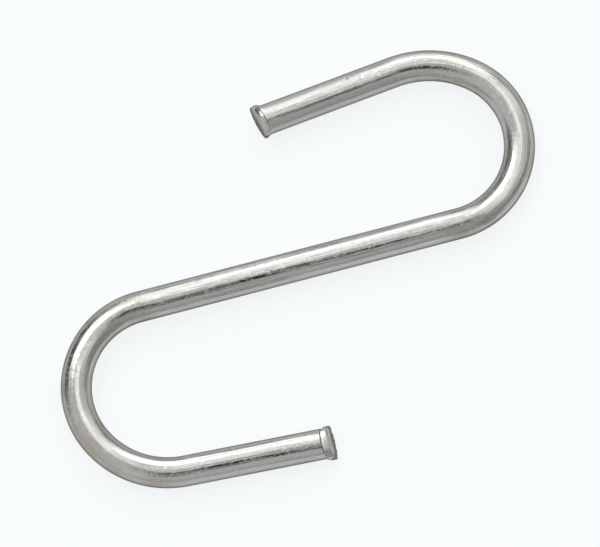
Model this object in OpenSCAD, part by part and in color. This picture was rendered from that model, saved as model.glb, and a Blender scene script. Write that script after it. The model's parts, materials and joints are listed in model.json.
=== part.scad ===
// S hook of bent round wire, lying flat.
// One length of wire makes a straight shank and a hook at each end, and the two hooks open to
// opposite sides. Each hook is a bend that opened a little as it sprang off the former, and a free
// leg that ends in a sheared tip. The underside of the wire rests on z = 0 and the shank runs
// along X, with the upper hook at +X turning to +Y, and the lower hook at -X turning to -Y.

/* [Wire] */
// Diameter of the wire
wire_d = 1.5; // [0.8:0.1:2.2]

/* [Shank] */
// Straight run between the two hooks
shank_len = 16; // [8:0.5:60]

/* [Upper hook] */
// Radius of the bend next to the shank, to the middle of the wire
upper_bend_r = 3.9; // [3:0.1:10]
// Turn made at that radius
upper_bend_turn = 139; // [90:1:150]
// Radius where the wire sprang open as it came off the former
upper_spring_r = 5; // [3:0.1:12]
// Turn made at the sprung radius
upper_spring_turn = 47; // [10:1:55]
// Straight run from the sprung bend to the cut
upper_leg_len = 7; // [3:0.1:20]
// Skew of the cut off square, positive where the side towards the shank is the shorter
upper_tip_skew = 8; // [-15:1:15]

/* [Lower hook] */
// Radius of the bend next to the shank, to the middle of the wire
lower_bend_r = 4; // [3:0.1:10]
// Turn made at that radius
lower_bend_turn = 116; // [90:1:130]
// Radius where the wire sprang open as it came off the former
lower_spring_r = 4.6; // [3:0.1:12]
// Turn made at the sprung radius
lower_spring_turn = 60.5; // [10:0.5:75]
// Straight run from the sprung bend to the cut
lower_leg_len = 7.2; // [3:0.1:20]
// Skew of the cut off square, positive where the side towards the shank is the shorter
lower_tip_skew = 2; // [-15:1:15]

/* [Sheared tips] */
// Lean of the cut, which leaves the underside the longest
tip_lean = 14; // [0:1:25]
// How far down the blade reached before the rest of the wire tore through
tip_bite = 0.6; // [0.3:0.05:0.7]
// Angle at which the torn part falls back under the clean cut
tip_tear = 8; // [1:1:12]
// Height of the top edge that the blade rolled over as it came down
tip_roll = 0.16; // [0.05:0.01:0.25]
// Angle of the rolled edge off the clean cut
tip_roll_angle = 40; // [30:5:60]
// How far the squeeze of the blade spread the wire on each side
tip_spread = 0.11; // [0.03:0.01:0.2]
// Length of wire that the squeeze spread
tip_spread_len = 0.45; // [0.35:0.05:1.2]

/* [Hidden] */
$fn = 48;

wire_r = wire_d / 2;
// How much thinner the spread sides are than the wire
spread_ease = 0.02;
// Share of its size at which the wire is joined up
joining_scale = 0.001;

// A place on the middle line of the wire is [x, y, heading]. Both hooks are laid out alike, as they
// turn to the left off the end of the shank, and the lower one is then turned half way round.
hook_root = [shank_len / 2, 0, 0];

// Place reached by going straight on
function ahead(place, run) = [
    place[0] + run * cos(place[2]),
    place[1] + run * sin(place[2]),
    place[2]
];

// Centre of a left-hand bend that starts at a place
function bend_centre(place, r) = [
    place[0] - r * sin(place[2]),
    place[1] + r * cos(place[2])
];

// Place reached by a left-hand bend
function bent(place, r, turn) =
    let (centre = bend_centre(place, r), heading = place[2] + turn)
    [centre[0] + r * sin(heading), centre[1] - r * cos(heading), heading];

// How far a hook stands out sideways from the middle line of the shank
function side_reach(bend_r, bend_turn, spring_r, spring_turn, leg_len) =
    let (
        crown = bent(hook_root, bend_r, bend_turn),
        leg_start = bent(crown, spring_r, spring_turn),
        widest = bend_centre(crown, spring_r)[1] + (leg_start[2] >= 180 ? spring_r : 0)
    )
    max(widest, ahead(leg_start, leg_len)[1] + tip_spread) + wire_r;

upper_reach = side_reach(upper_bend_r, upper_bend_turn, upper_spring_r, upper_spring_turn,
    upper_leg_len);
lower_reach = side_reach(lower_bend_r, lower_bend_turn, lower_spring_r, lower_spring_turn,
    lower_leg_len);
// Middle of the room that the hook takes up, from the middle of its shank
room_middle = [(upper_bend_r - lower_bend_r) / 2, (upper_reach - lower_reach) / 2];

// Joins runs of wire that meet end to end. They are joined small and then enlarged, so that the
// rounding of their places is too small to leave a gap where they meet.
module joined() {
    scale(1 / joining_scale)
        for (i = [0 : $children - 1])
            scale(joining_scale)
                children(i);
}

// Wire that runs straight on from a place
module straight_wire(place, run) {
    translate([place[0], place[1]])
        rotate([0, 90, place[2]])
            cylinder(h = run, r = wire_r);
}

// Wire that bends to the left from a place
module bent_wire(place, r, turn) {
    translate(bend_centre(place, r))
        rotate([0, 0, place[2] - 90])
            rotate_extrude(angle = turn)
                translate([r, 0])
                    circle(r = wire_r);
}

// Both sides of a tip as the squeeze of the blade spread them. The tip points along +X.
module spread_sides() {
    for (side = [-1, 1])
        translate([-tip_spread_len, 0, 0])
            rotate([0, 90, side * atan(tip_spread / tip_spread_len)])
                cylinder(h = tip_spread_len + wire_d, r = wire_r - spread_ease);
}

// Space beyond a cut, which follows the rolled edge, the clean cut and the torn part. The blade
// came straight down on the wire.
module beyond_cut(skew) {
    far = 4 * wire_d;
    // Height on the wire where each facet meets the clean cut, and its angle off that cut
    facets = [
        [wire_r - tip_roll, tip_roll_angle],
        [0, 0],
        [wire_r - tip_bite, -tip_tear]
    ];
    rotate([0, -tip_lean, skew])
        for (facet = facets)
            translate([0, 0, facet[0]])
                rotate([0, -facet[1], 0])
                    translate([0, -far / 2, -far / 2])
                        cube(far);
}

// Free leg from a place on the wire to its sheared tip
module leg(place, run, skew) {
    spare = wire_d;
    translate([place[0], place[1]])
        rotate([0, 0, place[2]])
            difference() {
                union() {
                    straight_wire([0, 0, 0], run + spare);
                    translate([run, 0, 0])
                        spread_sides();
                }
                translate([run, 0, 0])
                    beyond_cut(skew);
            }
}

// Hook at the +X end of the shank
module hook(bend_r, bend_turn, spring_r, spring_turn, leg_len, tip_skew) {
    crown = bent(hook_root, bend_r, bend_turn);
    leg_start = bent(crown, spring_r, spring_turn);
    joined() {
        bent_wire(hook_root, bend_r, bend_turn);
        bent_wire(crown, spring_r, spring_turn);
        leg(leg_start, leg_len, tip_skew);
    }
}

module shank() {
    straight_wire([-shank_len / 2, 0, 0], shank_len);
}

module upper_hook() {
    hook(upper_bend_r, upper_bend_turn, upper_spring_r, upper_spring_turn, upper_leg_len,
        upper_tip_skew);
}

module lower_hook() {
    rotate([0, 0, 180])
        hook(lower_bend_r, lower_bend_turn, lower_spring_r, lower_spring_turn, lower_leg_len,
            lower_tip_skew);
}

module s_hook() {
    color("silver")
        translate([-room_middle[0], -room_middle[1], wire_r])
            joined() {
                shank();
                upper_hook();
                lower_hook();
            }
}

s_hook();
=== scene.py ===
"""The looks of a small S hook of bright drawn steel wire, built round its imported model.

Each half of the hook is drawn ring by ring: from past its free end, along the leg, round the bend and
down to the middle of the shank. A blade then shears its tip, and the halves are joined at the middle of
the shank. Lengths are in metres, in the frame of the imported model.
"""
import json
import logging
import math
from collections.abc import Callable, Iterator
from contextlib import contextmanager
from dataclasses import dataclass
from enum import Enum
from typing import Any

import bmesh
import bpy
from mathutils import Matrix, Vector, noise


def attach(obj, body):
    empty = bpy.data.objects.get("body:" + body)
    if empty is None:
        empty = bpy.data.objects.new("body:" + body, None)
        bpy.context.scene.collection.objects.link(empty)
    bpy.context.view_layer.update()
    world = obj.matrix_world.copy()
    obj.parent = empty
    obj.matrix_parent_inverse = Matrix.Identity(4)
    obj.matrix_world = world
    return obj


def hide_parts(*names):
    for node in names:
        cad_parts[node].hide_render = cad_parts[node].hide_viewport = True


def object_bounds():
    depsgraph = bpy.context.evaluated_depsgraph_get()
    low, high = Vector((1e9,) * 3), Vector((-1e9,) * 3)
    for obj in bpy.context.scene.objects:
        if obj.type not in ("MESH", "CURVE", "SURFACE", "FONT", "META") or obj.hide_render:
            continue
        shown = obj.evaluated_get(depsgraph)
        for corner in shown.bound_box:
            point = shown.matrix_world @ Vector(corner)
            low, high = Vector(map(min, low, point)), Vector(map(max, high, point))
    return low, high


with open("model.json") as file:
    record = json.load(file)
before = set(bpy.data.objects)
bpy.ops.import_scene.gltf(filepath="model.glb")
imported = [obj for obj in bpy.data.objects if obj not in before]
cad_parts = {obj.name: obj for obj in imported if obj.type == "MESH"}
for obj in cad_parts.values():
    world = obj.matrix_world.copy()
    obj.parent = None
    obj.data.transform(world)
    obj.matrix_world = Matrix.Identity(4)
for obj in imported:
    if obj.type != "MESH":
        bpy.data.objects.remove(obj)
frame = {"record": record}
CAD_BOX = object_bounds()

log = logging.getLogger("s_hook")

MM = 0.001
NODE = "s_hook"
BODY = "root"
# What each point of the surface keeps: where it lay while the wire was straight, and how hard the
# bending tool rubbed it
STRAIGHT = "straight_wire"
RUBBED = "tool_rub"
# Inputs and output of the node that mixes two colours
MIX_SHARE, MIX_FROM, MIX_TO, MIXED = 0, 6, 7, 2


class End(Enum):
    """The two ends of the wire. The value is the name of the mount on its free leg."""

    UPPER = "upper_leg"
    LOWER = "lower_leg"


def mount(name: str) -> dict[str, Any]:
    """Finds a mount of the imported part.

    Args:
        name: The mount's name.

    Returns:
        The mount as the record states it.
    """
    return next(m for m in frame["record"]["mounts"] if m["name"] == name)


def linear(hex_code: str) -> tuple[float, float, float, float]:
    """Turns an sRGB colour to the linear one that a shader takes.

    Args:
        hex_code: The colour as #RRGGBB.

    Returns:
        Red, green, blue and an alpha of 1.
    """
    levels = [int(hex_code[i : i + 2], 16) / 255 for i in (1, 3, 5)]
    red, green, blue = (v / 12.92 if v <= 0.04045 else ((v + 0.055) / 1.055) ** 2.4 for v in levels)
    return red, green, blue, 1.0


def smooth_step(share: float) -> float:
    """Eases a share from 0 to 1, and holds it there outside."""
    held = min(max(share, 0.0), 1.0)
    return held * held * (3 - 2 * held)


def put_node(
    tree: bpy.types.NodeTree, kind: str, inputs: dict[Any, Any], out: int | str = 0, **settings: Any
) -> bpy.types.NodeSocket:
    """Adds a node with its settings and links.

    Args:
        tree: The node tree.
        kind: The node's type.
        inputs: A value, or the output of another node, for each input by name or number.
        out: The output that is wanted, by name or number.
        **settings: The node's own settings.

    Returns:
        That output of the new node.
    """
    made = tree.nodes.new(kind)
    for name, value in settings.items():
        setattr(made, name, value)
    for name, value in inputs.items():
        if isinstance(value, bpy.types.NodeSocket):
            tree.links.new(value, made.inputs[name])
        else:
            made.inputs[name].default_value = value
    return made.outputs[out]


def metal(name: str) -> bpy.types.Material:
    """Starts the finish of a bare metal.

    Args:
        name: What it is called in the trade.

    Returns:
        The material, still plain.
    """
    made = bpy.data.materials.new(name)
    made.use_nodes = True
    made.node_tree.nodes["Principled BSDF"].inputs["Metallic"].default_value = 1.0
    return made


def select_only(*pieces: bpy.types.Object) -> None:
    """Selects these objects and no others, with the last one active.

    Args:
        *pieces: The objects.
    """
    bpy.ops.object.select_all(action="DESELECT")
    for piece in pieces:
        piece.select_set(True)
    bpy.context.view_layer.objects.active = pieces[-1]


@contextmanager
def editing(piece: bpy.types.Object) -> Iterator[None]:
    """Opens a piece in edit mode, and closes it again.

    Args:
        piece: The object, which becomes the only one selected.

    Yields:
        Nothing, while the piece is open.
    """
    select_only(piece)
    bpy.ops.object.mode_set(mode="EDIT")
    bpy.ops.mesh.select_mode(type="VERT")
    yield
    bpy.ops.object.mode_set(mode="OBJECT")


def pick_points(piece: bpy.types.Object, wanted: Callable[[bmesh.types.BMVert], bool]) -> None:
    """Selects the points of a piece in edit mode that pass a test, and no others.

    Args:
        piece: The object in edit mode.
        wanted: Says of a point whether it is selected.
    """
    mesh = bmesh.from_edit_mesh(piece.data)
    bpy.ops.mesh.select_all(action="DESELECT")
    for point in mesh.verts:
        point.select_set(wanted(point))
    mesh.select_flush_mode()
    bmesh.update_edit_mesh(piece.data)


def pull(step: tuple[float, float, float]) -> None:
    """Draws what is selected further.

    Args:
        step: How far it goes along each axis.
    """
    bpy.ops.mesh.extrude_region_move(TRANSFORM_OT_translate={"value": step})


@dataclass(frozen=True)
class Place:
    """A place on the middle line of the wire, with the way that the wire heads there."""

    x: float
    y: float
    heading: float

    @property
    def point(self) -> Vector:
        """The place by itself."""
        return Vector((self.x, self.y, 0.0))

    @property
    def along(self) -> Vector:
        """The way the wire heads, one metre long."""
        return Vector((math.cos(self.heading), math.sin(self.heading), 0.0))

    @property
    def left(self) -> Vector:
        """The way to the left of the wire's heading, one metre long."""
        return Vector((-math.sin(self.heading), math.cos(self.heading), 0.0))

    def centre(self, radius: float) -> Vector:
        """The centre of a left-hand bend that passes this place."""
        return self.point + radius * self.left

    def ahead(self, run: float) -> "Place":
        """The place a run further on."""
        reached = self.point + run * self.along
        return Place(reached.x, reached.y, self.heading)

    def bent(self, radius: float, turn: float) -> "Place":
        """The place further round a left-hand bend.

        Args:
            radius: The bend's radius, to the middle of the wire.
            turn: The angle, negative to go back.

        Returns:
            The place reached.
        """
        heading = self.heading + turn
        centre = self.centre(radius)
        return Place(centre.x + radius * math.sin(heading), centre.y - radius * math.cos(heading), heading)


@dataclass(frozen=True)
class Bend:
    """A stretch of wire bent to one radius."""

    radius: float
    turn: float

    @property
    def run(self) -> float:
        """The length of wire in it."""
        return self.radius * self.turn


@dataclass(frozen=True)
class Blade:
    """The blade that shears a tip. It comes straight down, and its working face prints the cut.

    It first rolls the wire's top edge over, then cuts the wire clean, and the rest tears through and
    leaves a burr along the lower edge.
    """

    # Turn of the cut off square
    skew: float
    # Where the grain of the torn part starts in its pattern
    grain_start: float
    # Lean of the cut, which leaves the underside the longest
    lean: float = math.radians(14)
    # Height of the rolled edge, how far back its full quarter round would reach, and how much of
    # that round is there
    roll: float = 0.26 * MM
    roll_depth: float = 0.6 * MM
    roll_end: float = 0.8
    # How far down the blade reached before the rest tore through
    bite: float = 0.6 * MM
    # Angle at which the torn part falls back, and how far its upper edge wavers
    tear: float = math.radians(8)
    tear_waver: float = 0.07 * MM
    waver_length: float = 0.3 * MM
    # Height, size and octaves of the torn part's grain, and the width over which it sets in
    tear_rough: float = 0.07 * MM
    tear_grain: float = 0.18 * MM
    tear_octaves: int = 3
    tear_fade: float = 0.06 * MM
    # Width and height of the burr
    burr_width: float = 0.15 * MM
    burr: float = 0.04 * MM
    # Half width of the blade, its thickness, and the pitch of its points
    reach: float = 1.08 * MM
    thickness: float = 2.0 * MM
    pitch: float = 0.03 * MM

    @property
    def back(self) -> float:
        """The level behind all of the cut, from which its print is counted."""
        return -self.thickness / 2

    def tear_line(self, side: float, wire_r: float) -> float:
        """How high on the wire the torn part ends.

        Args:
            side: Place across the wire.
            wire_r: The wire's radius.

        Returns:
            The height over the wire's middle.
        """
        waver = noise.noise(Vector((side / self.waver_length, self.grain_start / self.waver_length, 0.0)))
        return wire_r - self.bite + self.tear_waver * waver

    def top(self, side: float, wire_r: float, half_width: float) -> float:
        """How high the wire stands over its middle at a place across it."""
        return wire_r * math.sqrt(max(1 - (side / half_width) ** 2, 0.0))

    def layer(self, side: float, up: float, wire_r: float, half_width: float) -> int:
        """Tells the layers of the cut apart.

        Args:
            side: Place across the wire.
            up: Height over the wire's middle.
            wire_r: The wire's radius.
            half_width: The same, but where the squeeze has spread the wire.

        Returns:
            0 for the rolled edge, 1 for the clean cut and 2 for the torn part.
        """
        if up < self.tear_line(side, wire_r):
            return 2
        return int(self.top(side, wire_r, half_width) - up > self.roll)

    def profile(self, side: float, up: float, wire_r: float, half_width: float) -> float:
        """How far ahead of the clean cut the blade's face lies.

        Args:
            side: Place across the wire.
            up: Height over the wire's middle.
            wire_r: The wire's radius.
            half_width: The same, but where the squeeze has spread the wire.

        Returns:
            The distance along the wire, negative towards the hook.
        """
        top = self.top(side, wire_r, half_width)
        rolled = min(max(1 - (top - up) / self.roll, 0.0), self.roll_end)
        torn = max(self.tear_line(side, wire_r) - up, 0.0)
        lip = min(max(1 - (up + top) / self.burr_width, 0.0), 1.0)
        drawn_back = self.roll_depth * (1 - math.sqrt(1 - rolled**2)) + torn * math.tan(self.tear)
        return self.burr * lip**2 - drawn_back

    def blank(self, name: str, finishes: list[bpy.types.Material]) -> bpy.types.Object:
        """Starts the blade as a flat grid that lies at the back of its face.

        Args:
            name: The blade's name.
            finishes: The finishes of the drawn surface, the clean cut and the torn part.

        Returns:
            The grid. The wire's height lies along its X, and the wire's width along its Y.
        """
        count = round(2 * self.reach / self.pitch)
        bpy.ops.mesh.primitive_grid_add(
            x_subdivisions=count, y_subdivisions=count, size=2 * self.reach, location=(0, 0, self.back)
        )
        blade = bpy.context.object
        blade.name = name
        bpy.ops.object.transform_apply(location=True, rotation=False, scale=False)
        for finish in finishes:
            blade.data.materials.append(finish)
        return blade

    def print_cut(self, blade: bpy.types.Object, wire_r: float, half_width: float) -> None:
        """Prints the cut into the grid, with the grain of its torn part.

        Args:
            blade: The flat grid.
            wire_r: The wire's radius.
            half_width: The same, but where the squeeze has spread the wire.
        """
        depth = self.burr - self.back
        printed = blade.vertex_groups.new(name="printed")
        torn = blade.vertex_groups.new(name="torn")
        for point in blade.data.vertices:
            up, side = point.co.x, point.co.y
            ahead = self.profile(side, up, wire_r, half_width)
            printed.add([point.index], (ahead - self.back) / depth, "REPLACE")
            below = (self.tear_line(side, wire_r) - up) / self.tear_fade
            torn.add([point.index], smooth_step(below), "REPLACE")
        for face in blade.data.polygons:
            face.material_index = self.layer(face.center.y, face.center.x, wire_r, half_width)
        grain = bpy.data.textures.new(blade.name + "_grain", "CLOUDS")
        grain.noise_scale = self.tear_grain
        grain.noise_depth = self.tear_octaves
        start = bpy.data.objects.new(blade.name + "_grain_start", None)
        bpy.context.collection.objects.link(start)
        start.location = (self.grain_start, self.grain_start, 0)
        shape = blade.modifiers.new("printed_face", "DISPLACE")
        shape.direction = "Z"
        shape.mid_level = 0.0
        shape.strength = depth
        shape.vertex_group = printed.name
        rough = blade.modifiers.new("torn_face", "DISPLACE")
        rough.texture = grain
        rough.texture_coords = "OBJECT"
        rough.texture_coords_object = start
        rough.direction = "Z"
        rough.vertex_group = torn.name
        rough.strength = self.tear_rough
        select_only(blade)
        for modifier in (shape.name, rough.name):
            bpy.ops.object.modifier_apply(modifier=modifier)
        bpy.data.objects.remove(start)

    def build(
        self, name: str, tip: float, wire_r: float, half_width: float, finishes: list[bpy.types.Material]
    ) -> bpy.types.Object:
        """Models the blade where it has cut a wire that lies along X.

        Args:
            name: The blade's name.
            tip: Place of the tip along X.
            wire_r: The wire's radius.
            half_width: The same, but where the squeeze has spread the wire.
            finishes: The finishes of the drawn surface, the clean cut and the torn part.

        Returns:
            The blade's object.
        """
        blade = self.blank(name, finishes)
        self.print_cut(blade, wire_r, half_width)
        with editing(blade):
            bpy.ops.mesh.select_all(action="SELECT")
            pull((0, 0, self.thickness))
            bpy.ops.mesh.select_all(action="SELECT")
            bpy.ops.mesh.normals_make_consistent(inside=False)
        # The grid's X turns up to Z, and its face to the wire
        stand = Matrix(((0, 0, 1, 0), (0, -1, 0, 0), (1, 0, 0, 0), (0, 0, 0, 1)))
        turn = Matrix.Rotation(self.skew, 4, "Z") @ Matrix.Rotation(-self.lean, 4, "Y")
        blade.matrix_world = Matrix.Translation((tip, 0, 0)) @ turn @ stand
        select_only(blade)
        bpy.ops.object.transform_apply(location=True, rotation=True, scale=True)
        return blade


@dataclass(frozen=True)
class HalfHook:
    """One half of the hook: a free leg with its sheared tip, the bend, and half of the shank.

    It is modelled with its leg along X, the middle of the leg at the origin and the tip at +X.
    """

    end: End
    # The bend next to the shank, and the one where the wire sprang open off the former
    bend: Bend
    spring: Bend
    blade: Blade
    shank_len: float
    # Points round the wire, and the pitch of its rings along it and at the tip
    sides: int = 72
    pitch: float = 0.2 * MM
    tip_pitch: float = 0.06 * MM
    # How far the blade's squeeze spread each side of the wire, over what length, and the part of it
    # next to the cut that is spread evenly
    spread: float = 0.11 * MM
    spread_len: float = 0.45 * MM
    spread_even: float = 0.15 * MM
    # Wire past the tip, which the blade takes off
    spare: float = 0.5 * MM
    # Share of the tool's rub that its oil alone leaves, and how steeply the rub of the former and of
    # the roller grows towards the sides that they bear on
    oil_film: float = 0.3
    former_power: float = 3.0
    roller_power: float = 1.2
    # Rounds in which points that only part an edge are cleared
    clean_rounds: int = 3
    # How near the middle of the shank the points of the last ring lie
    ring_slack: float = 0.05 * MM

    @property
    def wire_r(self) -> float:
        """The wire's radius."""
        return mount(self.end.value)["dims"]["r_mm"] * MM

    @property
    def leg_len(self) -> float:
        """The length of the free leg."""
        return mount(self.end.value)["dims"]["length_mm"] * MM

    @property
    def stations(self) -> list[Place]:
        """Finds where each stretch of the half starts, going back to the shank.

        Returns:
            The places of the tip, the leg, the sprung bend and the tight bend.
        """
        tip = Place(self.leg_len / 2, 0.0, 0.0)
        leg_start = tip.ahead(-self.leg_len)
        crown = leg_start.bent(self.spring.radius, -self.spring.turn)
        return [tip, leg_start, crown, crown.bent(self.bend.radius, -self.bend.turn)]

    def width(self, x: float) -> float:
        """Finds how much the squeeze has spread the wire.

        Args:
            x: Place along the leg.

        Returns:
            How many times wider than the plain wire it stands there.
        """
        start = self.leg_len / 2 - self.spread_len
        flare = self.spread_len - self.spread_even
        return 1 + self.spread / self.wire_r * smooth_step((x - start) / flare)

    def leg_rings(self) -> list[float]:
        """Spaces the rings of the leg, closest at its tip.

        Returns:
            Their places along X, from past the tip to the start of the leg.
        """
        flared = self.spread_len + self.spare
        plain = self.leg_len - self.spread_len
        fine, coarse = round(flared / self.tip_pitch), round(plain / self.pitch)
        end = self.leg_len / 2 + self.spare
        rings = [end - flared * i / fine for i in range(fine)]
        return rings + [end - flared - plain * i / coarse for i in range(coarse + 1)]

    def draw(self, finish: bpy.types.Material) -> bpy.types.Object:
        """Draws the wire from past the tip to the middle of the shank.

        Args:
            finish: The finish of the drawn wire.

        Returns:
            The closed length of wire.
        """
        _, leg_start, crown, root = self.stations
        rings = self.leg_rings()
        bpy.ops.mesh.primitive_circle_add(
            vertices=self.sides,
            radius=self.wire_r,
            fill_type="NGON",
            location=(rings[0], 0, 0),
            rotation=(0, math.pi / 2, 0),
        )
        wire = bpy.context.object
        wire.name = "wire_" + self.end.name.lower()
        wire.data.materials.append(finish)
        bpy.ops.object.transform_apply(location=True, rotation=True, scale=True)
        with editing(wire):
            bpy.ops.mesh.select_all(action="SELECT")
            bpy.ops.transform.resize(value=(1, self.width(rings[0]), 1), center_override=(rings[0], 0, 0))
            for last, x in zip(rings, rings[1:]):
                pull((x - last, 0, 0))
                wider = self.width(x) / self.width(last)
                bpy.ops.transform.resize(value=(1, wider, 1), center_override=(x, 0, 0))
            for start, bend in ((leg_start, self.spring), (crown, self.bend)):
                steps = round(bend.run / self.pitch)
                centre = start.centre(bend.radius)
                bpy.ops.mesh.spin(steps=steps, angle=bend.turn, center=centre, axis=(0, 0, 1))
            count = round(self.shank_len / 2 / self.pitch)
            for _ in range(count):
                pull(tuple(-root.along * (self.shank_len / 2 / count)))
            bpy.ops.mesh.select_all(action="SELECT")
            bpy.ops.mesh.normals_make_consistent(inside=False)
        return wire

    def shear(self, wire: bpy.types.Object, finishes: list[bpy.types.Material]) -> None:
        """Shears the tip.

        Args:
            wire: The drawn wire.
            finishes: The finishes of the drawn surface, the clean cut and the torn part.
        """
        tip = self.leg_len / 2
        name = "blade_" + self.end.name.lower()
        blade = self.blade.build(name, tip, self.wire_r, self.wire_r * self.width(tip), finishes)
        cut = wire.modifiers.new("shear", "BOOLEAN")
        cut.operation = "DIFFERENCE"
        cut.solver = "EXACT"
        cut.material_mode = "TRANSFER"
        cut.object = blade
        select_only(wire)
        bpy.ops.object.modifier_apply(modifier=cut.name)
        bpy.data.objects.remove(blade)
        with editing(wire):
            # A point that only parts one edge in two would leave a folded sliver once the mesh is
            # triangles. Where several lie in a row, the first round leaves some.
            for _ in range(self.clean_rounds):
                pick_points(wire, lambda point: len(point.link_edges) == 2)
                bpy.ops.mesh.dissolve_verts()

    def straightened(self, point: Vector) -> tuple[float, float, float]:
        """Finds where a point of the bent wire lay while the wire was straight.

        Args:
            point: Its place on the half hook.

        Returns:
            Its place along the wire from the middle of the shank, to the left of it, and above it.
        """
        _, leg_start, crown, root = self.stations
        flat = Vector((point.x, point.y, 0.0))
        shank_run = self.shank_len / 2
        crown_run = shank_run + self.bend.run
        leg_run = crown_run + self.spring.run
        found = []
        for start, so_far, onward in ((leg_start, leg_run, True), (root, shank_run, False)):
            off = flat - start.point
            run = off.dot(start.along)
            if (run > 0) is onward:
                found.append((so_far + run, off.dot(start.left)))
        for start, so_far, bend in ((leg_start, leg_run, self.spring), (crown, crown_run, self.bend)):
            off = flat - start.centre(bend.radius)
            back = math.atan2(-off.dot(start.along), -off.dot(start.left))
            if 0 <= back <= bend.turn:
                found.append((so_far - bend.radius * back, bend.radius - off.length))
        run, left = min(found, key=lambda place: abs(place[1]))
        return run, left, point.z

    def rubbed(self, run: float, left: float) -> float:
        """How hard the bending tool rubbed a point.

        The former bore on the inner side of the bend, and the roller that wrapped the wire round it
        on a wider strip along the outer side. Their oil left a faint film all round.

        Args:
            run: Its place along the straight wire, from the middle of the shank.
            left: Its place to the left, which is the inner side of the bend.

        Returns:
            A share from 0 to 1.
        """
        start = self.shank_len / 2
        end = start + self.bend.run + self.spring.run
        fade = 2 * self.wire_r
        under_tool = smooth_step((run - start + fade) / fade) * smooth_step((end - run) / fade)
        inward = left / self.wire_r
        pressed = max(inward, 0.0) ** self.former_power + max(-inward, 0.0) ** self.roller_power
        return under_tool * (self.oil_film + (1 - self.oil_film) * min(pressed, 1.0))

    def note_surface(self, wire: bpy.types.Object) -> None:
        """Keeps with each point what the finishes read.

        Args:
            wire: The sheared half.
        """
        way = 1 if self.end is End.UPPER else -1
        kept = wire.data.attributes
        kept.new(STRAIGHT, "FLOAT_VECTOR", "POINT")
        kept.new(RUBBED, "FLOAT", "POINT")
        straight, rubbed = kept[STRAIGHT], kept[RUBBED]
        for point in wire.data.vertices:
            run, left, up = self.straightened(point.co)
            straight.data[point.index].vector = (way * run, way * left, up)
            rubbed.data[point.index].value = self.rubbed(run, left)

    def is_end_ring(self, point: Vector, middle: Place) -> bool:
        """Says whether a point is on the ring at the middle of the shank.

        Args:
            point: The point's place.
            middle: The middle of the shank.

        Returns:
            Whether it is.
        """
        off = point - middle.point
        return abs(off.dot(middle.along)) < self.ring_slack and off.length < 2 * self.wire_r

    def place(self, wire: bpy.types.Object) -> None:
        """Moves the half to where its leg's mount is, and opens its end at the middle of the shank.

        Args:
            wire: The sheared half.
        """
        where = mount(self.end.value)
        turn = math.atan2(where["axis"][1], where["axis"][0])
        middle = self.stations[-1].ahead(-self.shank_len / 2)
        with editing(wire):
            pick_points(wire, lambda point: self.is_end_ring(point.co, middle))
            bpy.ops.mesh.delete(type="ONLY_FACE")
        wire.matrix_world = Matrix.Translation(where["pos_m"]) @ Matrix.Rotation(turn, 4, "Z")
        select_only(wire)
        bpy.ops.object.transform_apply(location=True, rotation=True, scale=True)

    def build(self, finishes: list[bpy.types.Material]) -> bpy.types.Object:
        """Models the half hook in its place.

        Args:
            finishes: The finishes of the drawn surface, the clean cut and the torn part.

        Returns:
            The half hook.
        """
        wire = self.draw(finishes[0])
        self.shear(wire, finishes)
        self.note_surface(wire)
        self.place(wire)
        log.info("%s: %d faces", wire.name, len(wire.data.polygons))
        return wire


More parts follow.
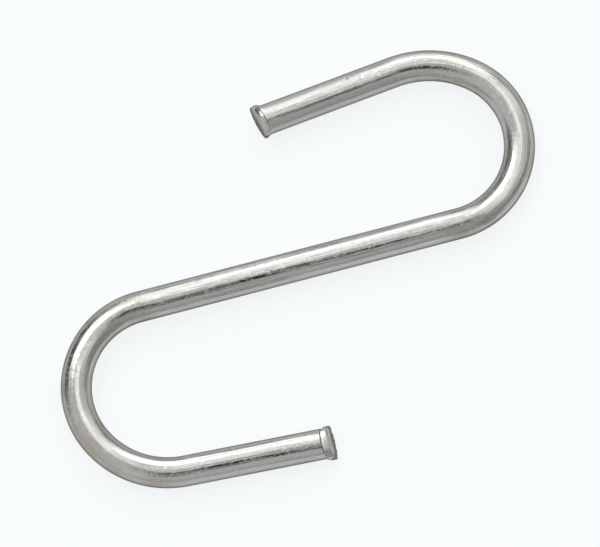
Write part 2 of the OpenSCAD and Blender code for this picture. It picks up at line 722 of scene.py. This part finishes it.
@dataclass(frozen=True)
class DrawnSteel:
    """Bright low-carbon steel wire, drawn through a die and tumbled clean after it was bent.

    The die leaves fine lines along the wire, which fray the edges of its reflections. Tumbling leaves
    small nicks and thin crossing scratches. The bending tool leaves chatter marks and a faint brown
    film round the bends. The eye sees a light grey metal with long sharp reflections.
    """

    bright: str = "#C4C4C2"
    filmed: str = "#B2AEA4"
    # Tint at a grazing view, where steel reflects less than at a slant
    edge: str = "#808080"
    # Roughness of the plain wire, how far its lines vary it, and what scuffs and the tool add
    roughness: float = 0.12
    rough_spread: float = 0.05
    scuffed: float = 0.1
    rubbed: float = 0.14
    # Real die lines are a few hundredths of a millimetre apart and a micron deep. These are twice as
    # coarse and deeper, to show.
    line_size: tuple[float, float] = (6.0 * MM, 0.07 * MM)
    line_depth: float = 0.014 * MM
    # Wider shallow flats between them, and how much of the film's tint they take
    band_size: tuple[float, float] = (14.0 * MM, 0.35 * MM)
    band_depth: float = 0.03 * MM
    band_film: float = 0.3
    # The bending tool chattered across the wire, in patches
    chatter_size: tuple[float, float] = (0.16 * MM, 0.5 * MM)
    chatter_depth: float = 0.03 * MM
    patch_size: float = 2.2 * MM
    # Nicks from tumbling: their spacing, the share of places that have one, their depth, and where
    # their bottom ends and their rim lies as shares of the spacing
    nick_gap: float = 0.9 * MM
    nick_share: float = 0.5
    nick_depth: float = 0.008 * MM
    nick_bowl: tuple[float, float] = (0.03, 0.16)
    # Scratches from tumbling: their size, their angles to the wire and their depth
    scratch_size: tuple[float, float] = (1.6 * MM, 0.045 * MM)
    scratch_angles: tuple[float, float] = (math.radians(32), math.radians(-55))
    scratch_depth: float = 0.004 * MM
    scuff_size: float = 0.7 * MM
    # Slow waves left by the straightening rolls
    wave_length: float = 3.5 * MM
    wave_depth: float = 0.045 * MM
    # How much fine detail each pattern holds, and how strong it is
    detail: float = 3.0
    detail_share: float = 0.55
    # Levels of a pattern between which lines, patches, scuffs and scratches set in
    line_levels: tuple[float, float] = (0.3, 0.7)
    patch_levels: tuple[float, float] = (0.4, 0.6)
    scuff_levels: tuple[float, float] = (0.52, 0.72)
    scratch_levels: tuple[float, float] = (0.63, 0.7)

    def streaks(
        self,
        tree: bpy.types.NodeTree,
        straight: bpy.types.NodeSocket,
        size: tuple[float, float],
        angle: float = 0.0,
    ) -> bpy.types.NodeSocket:
        """Adds a pattern of long marks.

        Args:
            tree: The node tree.
            straight: The place on the straight wire.
            size: How long and how wide a mark is.
            angle: The angle of the marks to the wire.

        Returns:
            The pattern, from 0 to 1.
        """
        length, width = size
        settings = {"Vector": straight, "Rotation": (0.0, 0.0, angle), "Scale": (length, width, width)}
        spot = put_node(tree, "ShaderNodeMapping", settings, vector_type="TEXTURE")
        noised = {"Vector": spot, "Scale": 1.0, "Detail": self.detail, "Roughness": self.detail_share}
        return put_node(tree, "ShaderNodeTexNoise", noised)

    def above(
        self, tree: bpy.types.NodeTree, pattern: bpy.types.NodeSocket, levels: tuple[float, float]
    ) -> bpy.types.NodeSocket:
        """Keeps the high parts of a pattern.

        Args:
            tree: The node tree.
            pattern: The pattern, from 0 to 1.
            levels: The one up to which nothing is kept, and the one from which all is.

        Returns:
            What is kept, from 0 to 1.
        """
        low, high = levels
        return put_node(tree, "ShaderNodeMapRange", {"Value": pattern, "From Min": low, "From Max": high})

    def nicks(self, tree: bpy.types.NodeTree, straight: bpy.types.NodeSocket) -> bpy.types.NodeSocket:
        """Adds the small dents from tumbling.

        Args:
            tree: The node tree.
            straight: The place on the straight wire.

        Returns:
            The depth of the dents, from 0 to 1.
        """
        cells = {"Vector": straight, "Scale": 1 / self.nick_gap}
        off = put_node(tree, "ShaderNodeTexVoronoi", cells, out="Distance")
        bottom, rim = self.nick_bowl
        bowl = {"Value": off, "From Min": bottom, "From Max": rim, "To Min": 1.0, "To Max": 0.0}
        dent = put_node(tree, "ShaderNodeMapRange", bowl, interpolation_type="SMOOTHSTEP")
        chance = {0: off.node.outputs["Color"], 1: 1 - self.nick_share}
        struck = put_node(tree, "ShaderNodeMath", chance, operation="GREATER_THAN")
        return put_node(tree, "ShaderNodeMath", {0: dent, 1: struck}, operation="MULTIPLY")

    def dullness(
        self,
        tree: bpy.types.NodeTree,
        straight: bpy.types.NodeSocket,
        lines: bpy.types.NodeSocket,
        rubbed: bpy.types.NodeSocket,
    ) -> bpy.types.NodeSocket:
        """Adds up what blurs the wire's reflections.

        Args:
            tree: The node tree.
            straight: The place on the straight wire.
            lines: The pattern of the die lines.
            rubbed: How hard the tool rubbed each patch.

        Returns:
            The roughness.
        """
        scuffs = self.streaks(tree, straight, (self.scuff_size, self.scuff_size))
        scuffs = self.above(tree, scuffs, self.scuff_levels)
        low, high = self.line_levels
        lined = {
            "Value": lines,
            "From Min": low,
            "From Max": high,
            "To Min": self.roughness - self.rough_spread,
            "To Max": self.roughness + self.rough_spread,
        }
        dull = put_node(tree, "ShaderNodeMapRange", lined)
        for mark, added in ((scuffs, self.scuffed), (rubbed, self.rubbed)):
            dull = put_node(tree, "ShaderNodeMath", {0: mark, 1: added, 2: dull}, operation="MULTIPLY_ADD")
        return dull

    def relief(
        self,
        tree: bpy.types.NodeTree,
        straight: bpy.types.NodeSocket,
        lines: bpy.types.NodeSocket,
        bands: bpy.types.NodeSocket,
        rubbed: bpy.types.NodeSocket,
    ) -> bpy.types.NodeSocket:
        """Adds up the marks that stand out of the wire or are sunk into it.

        Args:
            tree: The node tree.
            straight: The place on the straight wire.
            lines: The pattern of the die lines.
            bands: The pattern of the flats.
            rubbed: How hard the tool rubbed each patch.

        Returns:
            The normal of the marked surface.
        """
        waves = self.streaks(tree, straight, (self.wave_length, self.wave_length))
        chatter = self.streaks(tree, straight, self.chatter_size)
        chatter = put_node(tree, "ShaderNodeMath", {0: chatter, 1: rubbed}, operation="MULTIPLY")
        marks = [
            (lines, self.line_depth),
            (bands, self.band_depth),
            (waves, self.wave_depth),
            (chatter, self.chatter_depth),
            (self.nicks(tree, straight), -self.nick_depth),
        ]
        for angle in self.scratch_angles:
            scratches = self.streaks(tree, straight, self.scratch_size, angle)
            marks.append((self.above(tree, scratches, self.scratch_levels), -self.scratch_depth))
        height = 0.0
        for pattern, depth in marks:
            added = {0: pattern, 1: depth / MM, 2: height}
            height = put_node(tree, "ShaderNodeMath", added, operation="MULTIPLY_ADD")
        return put_node(tree, "ShaderNodeBump", {"Height": height, "Distance": MM})

    def material(self) -> bpy.types.Material:
        """Makes the finish.

        Returns:
            The material.
        """
        made = metal("drawn_steel_wire")
        tree = made.node_tree
        shader = tree.nodes["Principled BSDF"]
        shader.inputs["Specular Tint"].default_value = linear(self.edge)
        straight = put_node(tree, "ShaderNodeAttribute", {}, out="Vector", attribute_name=STRAIGHT)
        pressed = put_node(tree, "ShaderNodeAttribute", {}, out="Fac", attribute_name=RUBBED)
        lines = self.streaks(tree, straight, self.line_size)
        bands = self.streaks(tree, straight, self.band_size)
        patches = self.streaks(tree, straight, (self.patch_size, self.patch_size))
        patches = self.above(tree, patches, self.patch_levels)
        rubbed = put_node(tree, "ShaderNodeMath", {0: pressed, 1: patches}, operation="MULTIPLY")
        film = {0: bands, 1: self.band_film, 2: rubbed}
        tone = put_node(tree, "ShaderNodeMath", film, operation="MULTIPLY_ADD")
        tones = {MIX_SHARE: tone, MIX_FROM: linear(self.bright), MIX_TO: linear(self.filmed)}
        colour = put_node(tree, "ShaderNodeMix", tones, out=MIXED, data_type="RGBA")
        tree.links.new(colour, shader.inputs["Base Color"])
        tree.links.new(self.dullness(tree, straight, lines, rubbed), shader.inputs["Roughness"])
        tree.links.new(self.relief(tree, straight, lines, bands, rubbed), shader.inputs["Normal"])
        return made


@dataclass(frozen=True)
class ShearedSteel:
    """The part of a cut face that the blade slid down.

    It is bare steel burnished in fine upright lines, so it shines but stands darker than the drawn
    surface beside it.
    """

    bright: str = "#ABA9A6"
    dark: str = "#7B7975"
    roughness: float = 0.27
    # Real burnish lines are finer. These are as coarse as they need to be to show.
    line_width: float = 0.06 * MM
    line_length: float = 1.5 * MM
    line_depth: float = 0.015 * MM

    def material(self) -> bpy.types.Material:
        """Makes the finish.

        Returns:
            The material.
        """
        made = metal("sheared_steel")
        tree = made.node_tree
        shader = tree.nodes["Principled BSDF"]
        shader.inputs["Roughness"].default_value = self.roughness
        here = put_node(tree, "ShaderNodeTexCoord", {}, out="Object")
        scale = (1 / self.line_width, 1 / self.line_width, 1 / self.line_length)
        spot = put_node(tree, "ShaderNodeMapping", {"Vector": here, "Scale": scale})
        lines = put_node(tree, "ShaderNodeTexNoise", {"Vector": spot, "Scale": 1.0})
        tones = {MIX_SHARE: lines, MIX_FROM: linear(self.bright), MIX_TO: linear(self.dark)}
        colour = put_node(tree, "ShaderNodeMix", tones, out=MIXED, data_type="RGBA")
        tree.links.new(colour, shader.inputs["Base Color"])
        bumped = put_node(tree, "ShaderNodeBump", {"Height": lines, "Distance": self.line_depth})
        tree.links.new(bumped, shader.inputs["Normal"])
        return made


@dataclass(frozen=True)
class TornSteel:
    """The part of a cut face where the steel tore through.

    It is a matt grain of small torn faces. Its colour goes from dark to bright with the grain: partly
    random tone of the torn steel, partly painted glints where a face would catch the light.
    """

    # Colours of the dark and of the bright grain; the bright one is partly a painted glint
    bright: str = "#A3A19D"
    dark: str = "#5C5955"
    roughness: float = 0.6
    # Size and depth of the grain, how much fine detail it holds and how strong that is
    grain: float = 0.08 * MM
    depth: float = 0.04 * MM
    detail: float = 4.0
    detail_share: float = 0.65
    # Levels of the grain between which the colour goes from dark to bright, which partly paints glints
    tone_and_glint_levels: tuple[float, float] = (0.35, 0.65)

    def material(self) -> bpy.types.Material:
        """Makes the finish.

        Returns:
            The material.
        """
        made = metal("torn_steel")
        tree = made.node_tree
        shader = tree.nodes["Principled BSDF"]
        shader.inputs["Roughness"].default_value = self.roughness
        here = put_node(tree, "ShaderNodeTexCoord", {}, out="Object")
        noised = {
            "Vector": here,
            "Scale": 1 / self.grain,
            "Detail": self.detail,
            "Roughness": self.detail_share,
        }
        grain = put_node(tree, "ShaderNodeTexNoise", noised)
        dark, bright = self.tone_and_glint_levels
        ends = {"Value": grain, "From Min": dark, "From Max": bright}
        facet_tone_and_glints = put_node(tree, "ShaderNodeMapRange", ends)
        # Partly painted glints: the higher the grain, the brighter the colour, as if that face caught the
        # light
        tones = {MIX_SHARE: facet_tone_and_glints, MIX_FROM: linear(self.dark), MIX_TO: linear(self.bright)}
        colour = put_node(tree, "ShaderNodeMix", tones, out=MIXED, data_type="RGBA")
        tree.links.new(colour, shader.inputs["Base Color"])
        bumped = put_node(tree, "ShaderNodeBump", {"Height": grain, "Distance": self.depth})
        tree.links.new(bumped, shader.inputs["Normal"])
        return made


@dataclass(frozen=True)
class SHook:
    """The whole hook, of one length of wire."""

    shank_len: float = 16.0 * MM
    upper_bend: Bend = Bend(3.9 * MM, math.radians(139))
    upper_spring: Bend = Bend(5.0 * MM, math.radians(47))
    upper_blade: Blade = Blade(skew=math.radians(8), grain_start=3.0 * MM)
    lower_bend: Bend = Bend(4.0 * MM, math.radians(116))
    lower_spring: Bend = Bend(4.6 * MM, math.radians(60.5))
    # This cut was made with a duller blade, which rolled more of the edge over
    lower_blade: Blade = Blade(
        skew=math.radians(2), grain_start=7.0 * MM, roll=0.45 * MM, roll_depth=0.9 * MM
    )
    # Points of the two halves that meet lie nearer than this
    join_gap: float = 0.01 * MM
    # Edges sharper than this stay sharp
    smooth_to: float = math.radians(26)

    def halves(self) -> list[HalfHook]:
        """The upper and the lower half."""
        return [
            HalfHook(End.UPPER, self.upper_bend, self.upper_spring, self.upper_blade, self.shank_len),
            HalfHook(End.LOWER, self.lower_bend, self.lower_spring, self.lower_blade, self.shank_len),
        ]

    def build(self) -> bpy.types.Object:
        """Models the hook and sets it in the frame.

        Returns:
            The hook.
        """
        finishes = [DrawnSteel().material(), ShearedSteel().material(), TornSteel().material()]
        built = [half.build(finishes) for half in self.halves()]
        select_only(*built)
        bpy.ops.object.join()
        hook = bpy.context.object
        hook.name = "bent_wire"
        with editing(hook):
            bpy.ops.mesh.select_all(action="DESELECT")
            bpy.ops.mesh.select_non_manifold(
                use_wire=False,
                use_boundary=True,
                use_multi_face=False,
                use_non_contiguous=False,
                use_verts=False,
            )
            bpy.ops.mesh.remove_doubles(threshold=self.join_gap)
            bpy.ops.mesh.select_all(action="SELECT")
            bpy.ops.mesh.normals_make_consistent(inside=False)
        select_only(hook)
        bpy.ops.object.shade_smooth_by_angle(angle=self.smooth_to)
        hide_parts(NODE)
        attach(hook, BODY)
        return hook


@dataclass(frozen=True)
class Glow:
    """A soft round patch of light, or of shade where its level is negative, far out in the studio.

    Directions in the picture are angles from its right side, turning to its top. Leans are angles
    from the vertical. All of its angles are in degrees.
    """

    lean: float
    towards: float
    # Half angle that is fully lit, and the further angle over which it fades
    core: float
    fade: float
    level: float

    def add_to(
        self, tree: bpy.types.NodeTree, way: bpy.types.NodeSocket, axis: Vector, light: Any
    ) -> bpy.types.NodeSocket:
        """Adds the patch to the light of the studio.

        Args:
            tree: The world's node tree.
            way: The direction that is looked in.
            axis: The direction of the patch's middle.
            light: The light so far.

        Returns:
            The light with this patch.
        """
        ways = {0: way, 1: axis}
        near = put_node(tree, "ShaderNodeVectorMath", ways, out="Value", operation="DOT_PRODUCT")
        ends = {
            "Value": near,
            "From Min": math.cos(math.radians(self.core + self.fade)),
            "From Max": math.cos(math.radians(self.core)),
            "To Min": 0.0,
            "To Max": self.level,
        }
        patch = put_node(tree, "ShaderNodeMapRange", ends, interpolation_type="SMOOTHSTEP")
        return put_node(tree, "ShaderNodeMath", {0: light, 1: patch}, operation="ADD")


@dataclass(frozen=True)
class Studio:
    """A white table in a grey studio with soft lights, and a camera that looks down on the hook."""

    # How far the shank rises to the right in the picture, in degrees like the other angles here
    shank_rise: float = 14.6
    # Lean of the camera off the vertical, and the direction in the picture that it leans towards
    lean: float = 10.0
    lean_towards: float = 290.0
    # Focal length in millimetres, how much of the table the picture spans, and how near and how far
    # the camera sees
    lens: float = 300.0
    frame_width: float = 29.0 * MM
    clip: tuple[float, float] = (0.01, 20.0)
    table_side: float = 6.0
    table_colour: str = "#F2F4F5"
    # The plain white that a share of the table shows whatever falls on it, and that share to the eye
    # and mirrored
    table_white: str = "#FCFFFF"
    table_glow: float = 0.83
    mirrored_glow: float = 0.15
    # Light of the grey room itself, and the least that a black flag leaves of it
    room_level: float = 0.38
    darkest: float = 0.02
    # Dark foot of the wall past the table: the share of light left there, and where it ends
    foot_share: float = 0.25
    foot_top: float = 3.0
    foot_fade: float = 5.0
    glows: tuple[Glow, ...] = (
        # The main softbox past the top of the picture, a small bright one to its left, and one overhead
        Glow(lean=61, towards=89, core=5, fade=25, level=2.4),
        Glow(lean=36, towards=135, core=4, fade=15, level=3.8),
        Glow(lean=13, towards=69, core=2, fade=12, level=0.9),
        # White reflectors at the right and at the lower left
        Glow(lean=40, towards=24, core=25, fade=17, level=0.96),
        Glow(lean=58, towards=220, core=30, fade=45, level=0.36),
        # Black flags at the left and at the right, which draw dark lines down the wire's sides
        Glow(lean=81, towards=163, core=17, fade=17, level=-0.5),
        Glow(lean=48, towards=9, core=16, fade=16, level=-0.55),
        # The dark front of the camera and its stand
        Glow(lean=21, towards=272, core=4, fade=12, level=-1.0),
    )

    def direction(self, lean: float, towards: float) -> Vector:
        """Turns a lean and a direction in the picture to one in the frame.

        Args:
            lean: Angle from the vertical, in degrees.
            towards: Direction in the picture, in degrees.

        Returns:
            The direction, one metre long.
        """
        rise, turn = math.radians(lean), math.radians(towards - self.shank_rise)
        return Vector((math.sin(rise) * math.cos(turn), math.sin(rise) * math.sin(turn), math.cos(rise)))

    def table(self) -> None:
        """Lays the white table under the hook.

        Part of it shows as plain white to the camera and in reflections, so that it reads as white and
        the hook's shadow on the rest of it stays faint.
        """
        bpy.ops.mesh.primitive_plane_add(size=self.table_side)
        table = bpy.context.object
        table.name = "table"
        paper = bpy.data.materials.new("matt_white_paper")
        paper.use_nodes = True
        tree = paper.node_tree
        shader = tree.nodes["Principled BSDF"]
        shader.inputs["Base Color"].default_value = linear(self.table_colour)
        shader.inputs["Roughness"].default_value = 1.0
        shader.inputs["Specular IOR Level"].default_value = 0.0
        share = 0.0
        rays = put_node(tree, "ShaderNodeLightPath", {}).node.outputs
        for ray, glow in (
            ("Is Camera Ray", self.table_glow),
            ("Is Glossy Ray", self.mirrored_glow),
            ("Is Transmission Ray", self.mirrored_glow),
        ):
            seen = {0: rays[ray], 1: glow, 2: share}
            share = put_node(tree, "ShaderNodeMath", seen, operation="MULTIPLY_ADD")
        white = put_node(tree, "ShaderNodeEmission", {"Color": linear(self.table_white), "Strength": 1.0})
        mixed = put_node(tree, "ShaderNodeMixShader", {0: share, 1: shader.outputs[0], 2: white})
        tree.links.new(mixed, tree.nodes["Material Output"].inputs["Surface"])
        table.data.materials.append(paper)

    def room(self) -> None:
        """Gives the grey studio its soft lights, and darkens the foot of its walls."""
        world = bpy.data.worlds.new("studio")
        bpy.context.scene.world = world
        world.use_nodes = True
        tree = world.node_tree
        way = put_node(tree, "ShaderNodeTexCoord", {}, out="Generated")
        light = self.room_level
        for glow in self.glows:
            light = glow.add_to(tree, way, self.direction(glow.lean, glow.towards), light)
        height = put_node(tree, "ShaderNodeSeparateXYZ", {0: way}, out="Z")
        foot = {
            "Value": height,
            "From Min": math.sin(math.radians(self.foot_top)),
            "From Max": math.sin(math.radians(self.foot_top + self.foot_fade)),
            "To Min": self.foot_share,
            "To Max": 1.0,
        }
        dimmed = put_node(tree, "ShaderNodeMapRange", foot, interpolation_type="SMOOTHSTEP")
        light = put_node(tree, "ShaderNodeMath", {0: light, 1: self.darkest}, operation="MAXIMUM")
        light = put_node(tree, "ShaderNodeMath", {0: light, 1: dimmed}, operation="MULTIPLY")
        tree.links.new(light, tree.nodes["Background"].inputs["Color"])

    def camera(self) -> None:
        """Sets the camera over the hook, rolled so that the shank rises to the right."""
        low, high = CAD_BOX
        middle = (low + high) / 2
        data = bpy.data.cameras.new("camera")
        data.lens = self.lens
        data.clip_start, data.clip_end = self.clip
        distance = self.frame_width * data.lens / data.sensor_width
        back = self.direction(self.lean, self.lean_towards)
        shank = Vector((1, 0, 0)) - back.x * back
        right = Matrix.Rotation(-math.radians(self.shank_rise), 3, back) @ shank.normalized()
        camera = bpy.data.objects.new("camera", data)
        bpy.context.collection.objects.link(camera)
        turned = Matrix((right, back.cross(right), back)).transposed().to_4x4()
        camera.matrix_world = Matrix.Translation(middle + back * distance) @ turned
        bpy.context.scene.camera = camera

    def build(self) -> None:
        """Sets up the studio."""
        self.table()
        self.room()
        self.camera()
        bpy.context.scene.view_settings.view_transform = "Standard"


def main() -> None:
    """Builds the hook and the studio round it."""
    logging.basicConfig(level=logging.INFO, format="%(name)s: %(message)s")
    hook = SHook().build()
    log.info("%s: %d faces", hook.name, len(hook.data.polygons))
    Studio().build()


if __name__ == "__main__":
    main()
